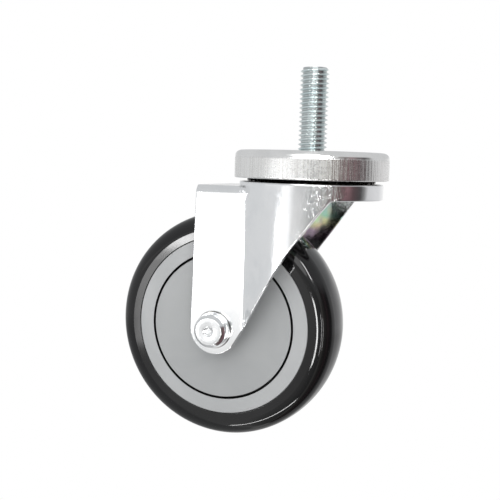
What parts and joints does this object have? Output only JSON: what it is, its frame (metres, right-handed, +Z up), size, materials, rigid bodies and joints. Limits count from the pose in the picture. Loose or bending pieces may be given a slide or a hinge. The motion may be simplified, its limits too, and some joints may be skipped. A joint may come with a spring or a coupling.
{
  "type": "swivel castor",
  "caption": "Threaded-stem swivel castor with a pressed steel fork, a ball-raced swivel cap, a dark elastomer tyre on a grey core, and ball bearings at the axle.",
  "frame": {"origin": "on the swivel axis, in the top face of the raceway cap, where the mounting surface rests and the stem starts", "axes": "+Z up along the threaded stem, +X the way the castor travels, with the wheel trailing toward -X and its axle along Y"},
  "size_m": [0.1194, 0.0703, 0.1646],
  "materials": {
    "stem_steel": "bright zinc plate, cut thread",
    "cap_steel": "bright zinc plate over a drawn, finely streaked wall",
    "fork_steel": "bright zinc plate over pressed sheet, faint passivation tints",
    "race_steel": "hardened and greased",
    "ball_steel": "polished",
    "axle_steel": "bright zinc plate",
    "nut_steel": "bright zinc plate",
    "spacer_steel": "bright zinc plate",
    "cage_steel": "pressed",
    "shield_steel": "satin",
    "core_plastic": "moulded, satin",
    "cover_plastic": "moulded, fine satin",
    "tyre_black": "glossy moulded tread"
  },
  "bodies": {
    "mount": {"threaded_stem": "stem_steel", "top_cap": "cap_steel", "upper_race": "race_steel", "lower_race": "race_steel"},
    "swivel_balls": {"upper_balls": "ball_steel", "lower_balls": "ball_steel"},
    "fork": {"fork": "fork_steel", "axle_bolt": "axle_steel", "head_washer": "axle_steel", "nut_washer": "nut_steel", "axle_nut": "nut_steel", "bearing_spacer": "spacer_steel", "right_axle_spacer": "spacer_steel", "left_axle_spacer": "spacer_steel", "right_inner_ring": "race_steel", "left_inner_ring": "race_steel"},
    "wheel": {"wheel_core": "core_plastic", "tyre": "tyre_black", "right_hub_cover": "cover_plastic", "left_hub_cover": "cover_plastic", "right_outer_ring": "race_steel", "left_outer_ring": "race_steel", "right_shield": "shield_steel", "left_shield": "shield_steel"},
    "bearing_balls": {"right_bearing_balls": "ball_steel", "left_bearing_balls": "ball_steel", "right_cage": "cage_steel", "left_cage": "cage_steel"}
  },
  "joints": [
    {"name": "swivel", "type": "hinge", "parent": "mount", "child": "fork", "pos_m": [0, 0, 0], "axis": [0, 0, 1], "continuous": true},
    {"name": "swivel_balls_roll", "type": "hinge", "parent": "mount", "child": "swivel_balls", "pos_m": [0, 0, 0], "axis": [0, 0, 1], "continuous": true},
    {"name": "wheel_spin", "type": "hinge", "parent": "fork", "child": "wheel", "pos_m": [-0.035, 0, -0.0778], "axis": [0, 1, 0], "continuous": true},
    {"name": "bearing_balls_roll", "type": "hinge", "parent": "fork", "child": "bearing_balls", "pos_m": [-0.035, 0, -0.0778], "axis": [0, 1, 0], "continuous": true}
  ],
  "couplings": [
    {"joint": "swivel_balls_roll", "follows": "swivel", "ratio": 0.5},
    {"joint": "bearing_balls_roll", "follows": "wheel_spin", "ratio": 0.6323}
  ]
}
